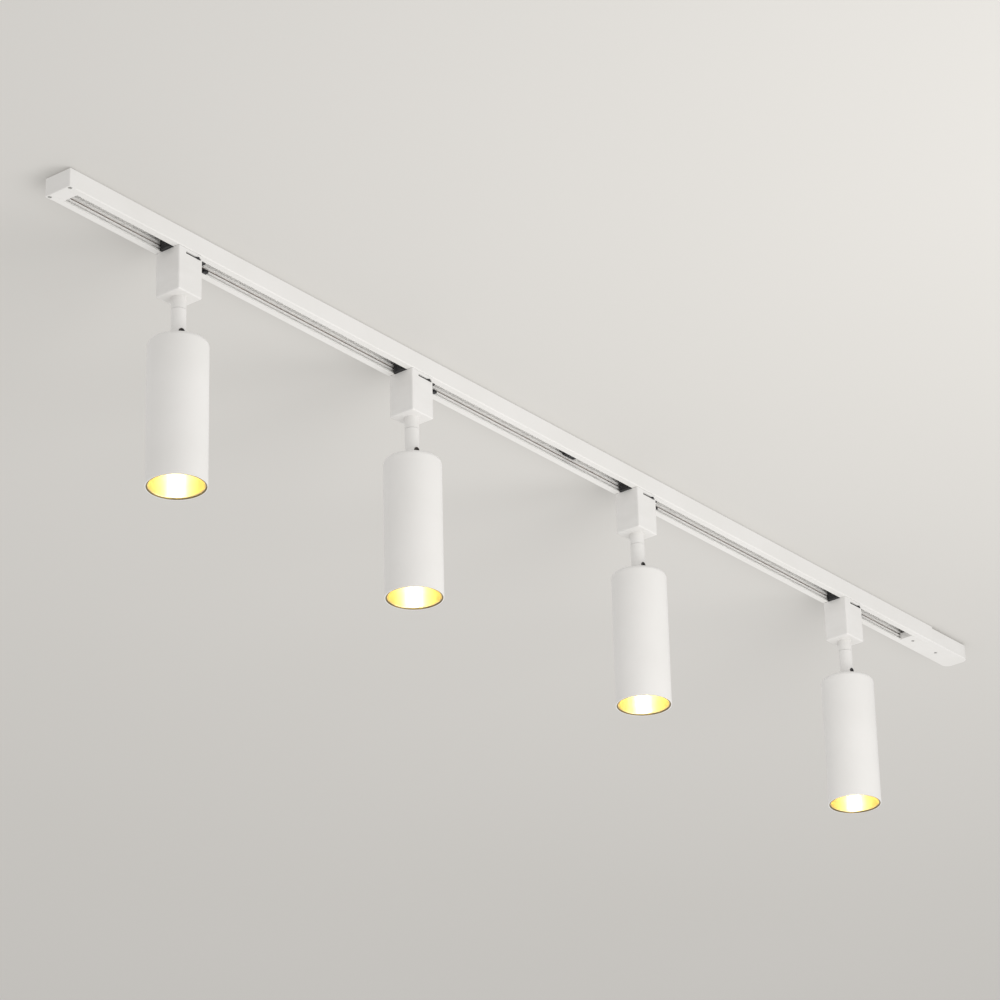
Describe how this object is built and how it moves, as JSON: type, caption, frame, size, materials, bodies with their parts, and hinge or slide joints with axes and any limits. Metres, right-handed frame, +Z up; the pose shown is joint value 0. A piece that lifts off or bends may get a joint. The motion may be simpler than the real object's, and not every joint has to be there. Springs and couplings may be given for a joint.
{
  "type": "track lighting fixture",
  "caption": "White ceiling lighting track with sliding, swivelling and tilting cylinder spot heads on square adapter blocks, a dead-end cap and a live-end feed box.",
  "frame": {"origin": "middle of the overall length, on the centre line of the ceiling face of the track", "axes": "+X along the track from the dead-end cap to the live-end feed, +Y across the track, +Z up into the ceiling; the heads hang towards -Z"},
  "size_m": [1.535, 0.06, 0.268],
  "materials": {
    "track_white": "white powder coat, satin",
    "lamp_white": "white powder coat, satin",
    "adapter_white": "white moulded plastic, fine satin",
    "feed_white": "white moulded plastic, satin",
    "strip_grey": "light grey extruded plastic",
    "copper": "bare copper",
    "black_plastic": "black moulded plastic, matt",
    "board_green": "green circuit board",
    "zinc_steel": "bright zinc plated",
    "black_steel": "black oxide",
    "led_disc": "bare aluminium with a yellow light source",
    "gold_reflector": "polished gold anodised",
    "black_ring": "black anodised",
    "rubber_black": "moulded rubber",
    "terminal_cream": "cream moulded plastic",
    "brass_screw": "bare brass"
  },
  "bodies": {
    "track": {"track_profile": "track_white", "insulator_strips": "strip_grey", "copper_conductors": "copper", "fixing_block": "black_plastic", "cover_screws": "zinc_steel", "dead_end_cap": "feed_white", "feed_housing": "feed_white", "feed_back_plate": "feed_white", "cable_grommet": "rubber_black", "terminal_block": "terminal_cream", "terminal_screws": "brass_screw", "feed_contacts": "copper"},
    "head1_carriage": {"head1_adapter_housing": "adapter_white", "head1_contact_insert": "black_plastic", "head1_driver_board": "board_green"},
    "head1_lock": {"head1_lock_rotor": "black_plastic", "head1_contact_blades": "copper"},
    "head1_stem": {"head1_swivel_stem": "lamp_white", "head1_swivel_nut": "zinc_steel", "head1_pivot_screw": "black_steel"},
    "head1_lamp": {"head1_lamp_housing": "lamp_white", "head1_led_module": "led_disc", "head1_reflector": "gold_reflector", "head1_front_ring": "black_ring"},
    "head2_carriage": {"head2_adapter_housing": "adapter_white", "head2_contact_insert": "black_plastic", "head2_driver_board": "board_green"},
    "head2_lock": {"head2_lock_rotor": "black_plastic", "head2_contact_blades": "copper"},
    "head2_stem": {"head2_swivel_stem": "lamp_white", "head2_swivel_nut": "zinc_steel", "head2_pivot_screw": "black_steel"},
    "head2_lamp": {"head2_lamp_housing": "lamp_white", "head2_led_module": "led_disc", "head2_reflector": "gold_reflector", "head2_front_ring": "black_ring"},
    "head3_carriage": {"head3_adapter_housing": "adapter_white", "head3_contact_insert": "black_plastic", "head3_driver_board": "board_green"},
    "head3_lock": {"head3_lock_rotor": "black_plastic", "head3_contact_blades": "copper"},
    "head3_stem": {"head3_swivel_stem": "lamp_white", "head3_swivel_nut": "zinc_steel", "head3_pivot_screw": "black_steel"},
    "head3_lamp": {"head3_lamp_housing": "lamp_white", "head3_led_module": "led_disc", "head3_reflector": "gold_reflector", "head3_front_ring": "black_ring"},
    "head4_carriage": {"head4_adapter_housing": "adapter_white", "head4_contact_insert": "black_plastic", "head4_driver_board": "board_green"},
    "head4_lock": {"head4_lock_rotor": "black_plastic", "head4_contact_blades": "copper"},
    "head4_stem": {"head4_swivel_stem": "lamp_white", "head4_swivel_nut": "zinc_steel", "head4_pivot_screw": "black_steel"},
    "head4_lamp": {"head4_lamp_housing": "lamp_white", "head4_led_module": "led_disc", "head4_reflector": "gold_reflector", "head4_front_ring": "black_ring"}
  },
  "joints": [
    {"name": "head1_slide", "type": "slide", "parent": "track", "child": "head1_carriage", "axis": [1, 0, 0], "range_m": [-0.128, 0.13]},
    {"name": "head1_lock", "type": "hinge", "parent": "head1_carriage", "child": "head1_lock", "pos_m": [-0.6, 0, -0.024], "axis": [0, 0, 1], "range_deg": [-50, 0]},
    {"name": "head1_swivel", "type": "hinge", "parent": "head1_carriage", "child": "head1_stem", "pos_m": [-0.6, 0, -0.08], "axis": [0, 0, 1], "range_deg": [-145, 185]},
    {"name": "head1_tilt", "type": "hinge", "parent": "head1_stem", "child": "head1_lamp", "pos_m": [-0.6, 0, -0.1055], "axis": [-0.342, -0.9397, 0], "range_deg": [0, 90]},
    {"name": "head2_slide", "type": "slide", "parent": "track", "child": "head2_carriage", "axis": [1, 0, 0], "range_m": [-0.13, 0.15]},
    {"name": "head2_lock", "type": "hinge", "parent": "head2_carriage", "child": "head2_lock", "pos_m": [-0.2515, 0, -0.024], "axis": [0, 0, 1], "range_deg": [-50, 0]},
    {"name": "head2_swivel", "type": "hinge", "parent": "head2_carriage", "child": "head2_stem", "pos_m": [-0.2515, 0, -0.08], "axis": [0, 0, 1], "range_deg": [-155, 175]},
    {"name": "head2_tilt", "type": "hinge", "parent": "head2_stem", "child": "head2_lamp", "pos_m": [-0.2515, 0, -0.1055], "axis": [-0.1736, -0.9848, 0], "range_deg": [0, 90]},
    {"name": "head3_slide", "type": "slide", "parent": "track", "child": "head3_carriage", "axis": [1, 0, 0], "range_m": [-0.079, 0.15]},
    {"name": "head3_lock", "type": "hinge", "parent": "head3_carriage", "child": "head3_lock", "pos_m": [0.129, 0, -0.024], "axis": [0, 0, 1], "range_deg": [-50, 0]},
    {"name": "head3_swivel", "type": "hinge", "parent": "head3_carriage", "child": "head3_stem", "pos_m": [0.129, 0, -0.08], "axis": [0, 0, 1], "range_deg": [-161, 169]},
    {"name": "head3_tilt", "type": "hinge", "parent": "head3_stem", "child": "head3_lamp", "pos_m": [0.129, 0, -0.1055], "axis": [-0.0698, -0.9976, 0], "range_deg": [0, 90]},
    {"name": "head4_slide", "type": "slide", "parent": "track", "child": "head4_carriage", "axis": [1, 0, 0], "range_m": [-0.15, 0.085]},
    {"name": "head4_lock", "type": "hinge", "parent": "head4_carriage", "child": "head4_lock", "pos_m": [0.5255, 0, -0.024], "axis": [0, 0, 1], "range_deg": [-50, 0]},
    {"name": "head4_swivel", "type": "hinge", "parent": "head4_carriage", "child": "head4_stem", "pos_m": [0.5255, 0, -0.08], "axis": [0, 0, 1], "range_deg": [-165, 165]},
    {"name": "head4_tilt", "type": "hinge", "parent": "head4_stem", "child": "head4_lamp", "pos_m": [0.5255, 0, -0.1055], "axis": [0, -1, 0], "range_deg": [0, 90]}
  ]
}
